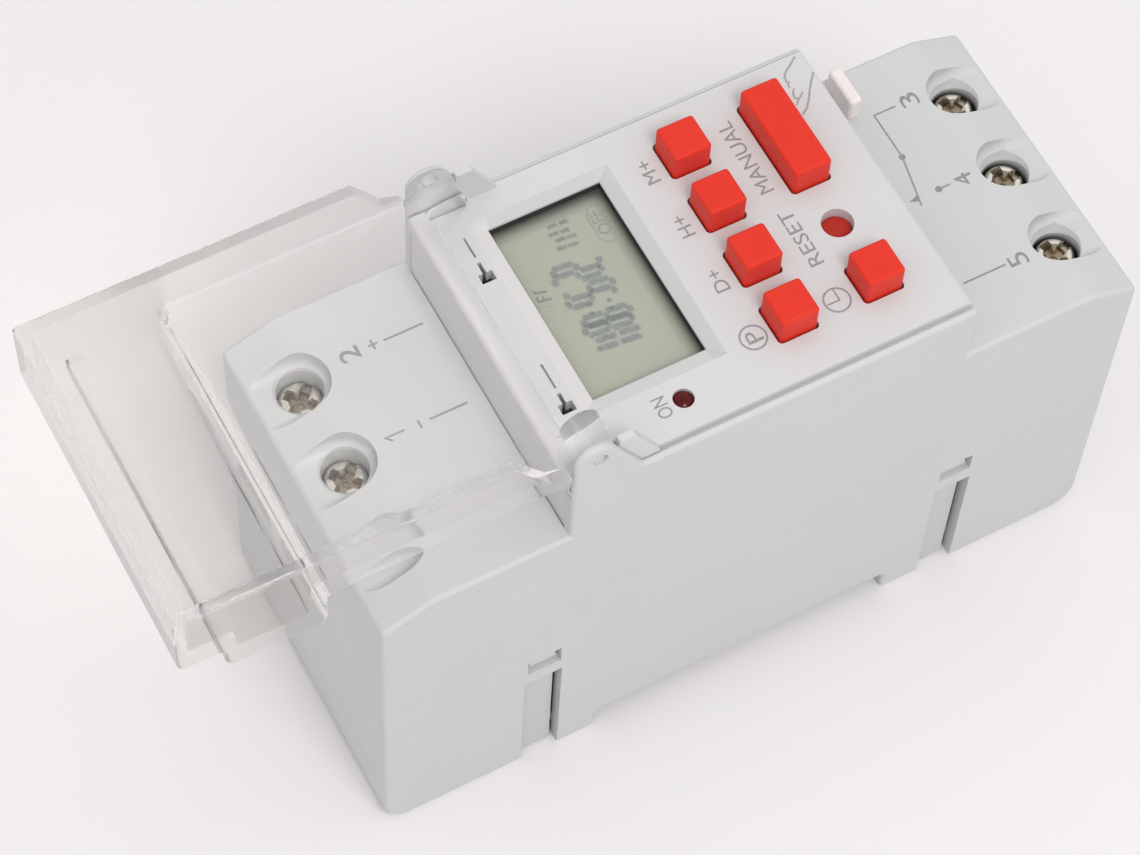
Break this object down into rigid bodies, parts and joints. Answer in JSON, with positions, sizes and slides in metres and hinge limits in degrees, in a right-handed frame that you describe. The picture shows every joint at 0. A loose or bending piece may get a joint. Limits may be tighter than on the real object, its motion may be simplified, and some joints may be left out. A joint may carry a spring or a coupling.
{
  "type": "programmable timer switch",
  "caption": "Rail-mounted weekly timer switch with a raised display and key field, screw terminals on both shoulders and a clear hinged cover, shown open.",
  "frame": {"origin": "centre of the plane in the rear channel that the mounting rail bears on, midway along and across the housing", "axes": "+X along the device towards terminals 3, 4 and 5; +Y across it, away from the near side; +Z out of the wall or rail, towards the user"},
  "size_m": [0.1104, 0.036, 0.0658],
  "materials": {
    "housing_plastic": "fine satin moulded",
    "panel_plastic": "fine satin moulded",
    "base_plastic": "fine satin moulded",
    "clear_plastic": "clear, polished",
    "key_red": "satin",
    "lcd_glass": "grey-green reflective display",
    "gasket_black": "matt",
    "lcd_holder_plastic": "matt",
    "zebra_rubber": "matt",
    "board_green": "solder mask",
    "switch_black": "matt",
    "led_red": "clear red, unlit",
    "chip_black": "matt",
    "tin": "bright",
    "cell_steel": "bright",
    "screw_steel": "zinc plated",
    "header_black": "matt",
    "capacitor_sleeve": "shrink sleeve",
    "resistor_coat": "lacquer",
    "varistor_coat": "epoxy",
    "relay_plastic": "moulded",
    "coil_wrap": "enamelled wire",
    "relay_iron": "plain iron",
    "contact_brass": "plain",
    "clamp_steel": "zinc plated",
    "bar_brass": "tinned brass",
    "terminal_screw_steel": "nickel plated",
    "spring_steel": "plain"
  },
  "bodies": {
    "root": {"housing": "housing_plastic", "front_panel": "panel_plastic", "rear_base": "base_plastic", "latch_spring": "spring_steel", "lcd_gasket": "gasket_black", "lcd_glass": "lcd_glass", "lcd_holder": "lcd_holder_plastic", "zebra_strips": "zebra_rubber", "display_board": "board_green", "main_board": "board_green", "tact_switches": "switch_black", "status_led": "led_red", "clock_chip": "chip_black", "crystal": "tin", "backup_battery": "cell_steel", "board_screws": "screw_steel", "board_link": "header_black", "filter_capacitor": "capacitor_sleeve", "dropper_resistors": "resistor_coat", "varistor": "varistor_coat", "relay_base": "relay_plastic", "relay_case": "relay_plastic", "relay_coil": "coil_wrap", "relay_yoke": "relay_iron", "relay_contacts": "contact_brass", "terminal_bar_1": "bar_brass", "terminal_bar_2": "bar_brass", "terminal_bar_3": "bar_brass", "terminal_bar_4": "bar_brass", "terminal_bar_5": "bar_brass"},
    "flip_cover": {"flip_cover": "clear_plastic"},
    "minute_key": {"minute_key": "key_red"},
    "hour_key": {"hour_key": "key_red"},
    "day_key": {"day_key": "key_red"},
    "program_key": {"program_key": "key_red"},
    "clock_key": {"clock_key": "key_red"},
    "manual_key": {"manual_key": "key_red"},
    "reset_key": {"reset_key": "key_red"},
    "rail_latch": {"rail_latch": "base_plastic"},
    "relay_armature": {"relay_armature": "relay_iron"},
    "terminal_screw_1": {"terminal_screw_1": "terminal_screw_steel"},
    "terminal_screw_2": {"terminal_screw_2": "terminal_screw_steel"},
    "terminal_screw_3": {"terminal_screw_3": "terminal_screw_steel"},
    "terminal_screw_4": {"terminal_screw_4": "terminal_screw_steel"},
    "terminal_screw_5": {"terminal_screw_5": "terminal_screw_steel"},
    "terminal_cage_1": {"terminal_cage_1": "clamp_steel"},
    "terminal_cage_2": {"terminal_cage_2": "clamp_steel"},
    "terminal_cage_3": {"terminal_cage_3": "clamp_steel"},
    "terminal_cage_4": {"terminal_cage_4": "clamp_steel"},
    "terminal_cage_5": {"terminal_cage_5": "clamp_steel"}
  },
  "joints": [
    {"name": "cover_hinge", "type": "hinge", "parent": "root", "child": "flip_cover", "pos_m": [-0.0201, 0, 0.0579], "axis": [0, 1, 0], "range_deg": [0, 180]},
    {"name": "minute_key_press", "type": "slide", "parent": "root", "child": "minute_key", "axis": [0, 0, -1], "range_m": [0, 0.0005], "stiffness_N_per_m": 1500, "springref_m": -0.0003},
    {"name": "hour_key_press", "type": "slide", "parent": "root", "child": "hour_key", "axis": [0, 0, -1], "range_m": [0, 0.0005], "stiffness_N_per_m": 1500, "springref_m": -0.0003},
    {"name": "day_key_press", "type": "slide", "parent": "root", "child": "day_key", "axis": [0, 0, -1], "range_m": [0, 0.0005], "stiffness_N_per_m": 1500, "springref_m": -0.0003},
    {"name": "program_key_press", "type": "slide", "parent": "root", "child": "program_key", "axis": [0, 0, -1], "range_m": [0, 0.0005], "stiffness_N_per_m": 1500, "springref_m": -0.0003},
    {"name": "clock_key_press", "type": "slide", "parent": "root", "child": "clock_key", "axis": [0, 0, -1], "range_m": [0, 0.0005], "stiffness_N_per_m": 1500, "springref_m": -0.0003},
    {"name": "manual_key_press", "type": "slide", "parent": "root", "child": "manual_key", "axis": [0, 0, -1], "range_m": [0, 0.0005], "stiffness_N_per_m": 1500, "springref_m": -0.0003},
    {"name": "reset_key_press", "type": "slide", "parent": "root", "child": "reset_key", "axis": [0, 0, -1], "range_m": [0, 0.0005], "stiffness_N_per_m": 1500, "springref_m": -0.0003},
    {"name": "latch_slide", "type": "slide", "parent": "root", "child": "rail_latch", "axis": [1, 0, 0], "range_m": [0, 0.003], "stiffness_N_per_m": 900, "springref_m": -0.002, "deforming": ["latch_spring"]},
    {"name": "relay_rock", "type": "hinge", "parent": "root", "child": "relay_armature", "pos_m": [0.0126, 0, 0.0344], "axis": [0, -1, 0], "range_deg": [0, 4], "stiffness_Nm_per_rad": 0.02, "springref_deg": -5.73},
    {"name": "screw_1_turn", "type": "hinge", "parent": "root", "child": "terminal_screw_1", "pos_m": [-0.0385, 0, 0.035], "axis": [0, 0, -1], "range_deg": [0, 2366]},
    {"name": "cage_1_lift", "type": "slide", "parent": "root", "child": "terminal_cage_1", "axis": [0, 0, 1], "range_m": [0, 0.0046]},
    {"name": "screw_2_turn", "type": "hinge", "parent": "root", "child": "terminal_screw_2", "pos_m": [-0.0385, 0.0102, 0.035], "axis": [0, 0, -1], "range_deg": [0, 2366]},
    {"name": "cage_2_lift", "type": "slide", "parent": "root", "child": "terminal_cage_2", "axis": [0, 0, 1], "range_m": [0, 0.0046]},
    {"name": "screw_3_turn", "type": "hinge", "parent": "root", "child": "terminal_screw_3", "pos_m": [0.0385, 0.0102, 0.035], "axis": [0, 0, -1], "range_deg": [0, 2366]},
    {"name": "cage_3_lift", "type": "slide", "parent": "root", "child": "terminal_cage_3", "axis": [0, 0, 1], "range_m": [0, 0.0046]},
    {"name": "screw_4_turn", "type": "hinge", "parent": "root", "child": "terminal_screw_4", "pos_m": [0.0385, 0, 0.035], "axis": [0, 0, -1], "range_deg": [0, 2366]},
    {"name": "cage_4_lift", "type": "slide", "parent": "root", "child": "terminal_cage_4", "axis": [0, 0, 1], "range_m": [0, 0.0046]},
    {"name": "screw_5_turn", "type": "hinge", "parent": "root", "child": "terminal_screw_5", "pos_m": [0.0385, -0.0102, 0.035], "axis": [0, 0, -1], "range_deg": [0, 2366]},
    {"name": "cage_5_lift", "type": "slide", "parent": "root", "child": "terminal_cage_5", "axis": [0, 0, 1], "range_m": [0, 0.0046]}
  ],
  "couplings": [
    {"joint": "screw_1_turn", "follows": "cage_1_lift", "rad_per_m": 8976},
    {"joint": "screw_2_turn", "follows": "cage_2_lift", "rad_per_m": 8976},
    {"joint": "screw_3_turn", "follows": "cage_3_lift", "rad_per_m": 8976},
    {"joint": "screw_4_turn", "follows": "cage_4_lift", "rad_per_m": 8976},
    {"joint": "screw_5_turn", "follows": "cage_5_lift", "rad_per_m": 8976}
  ]
}
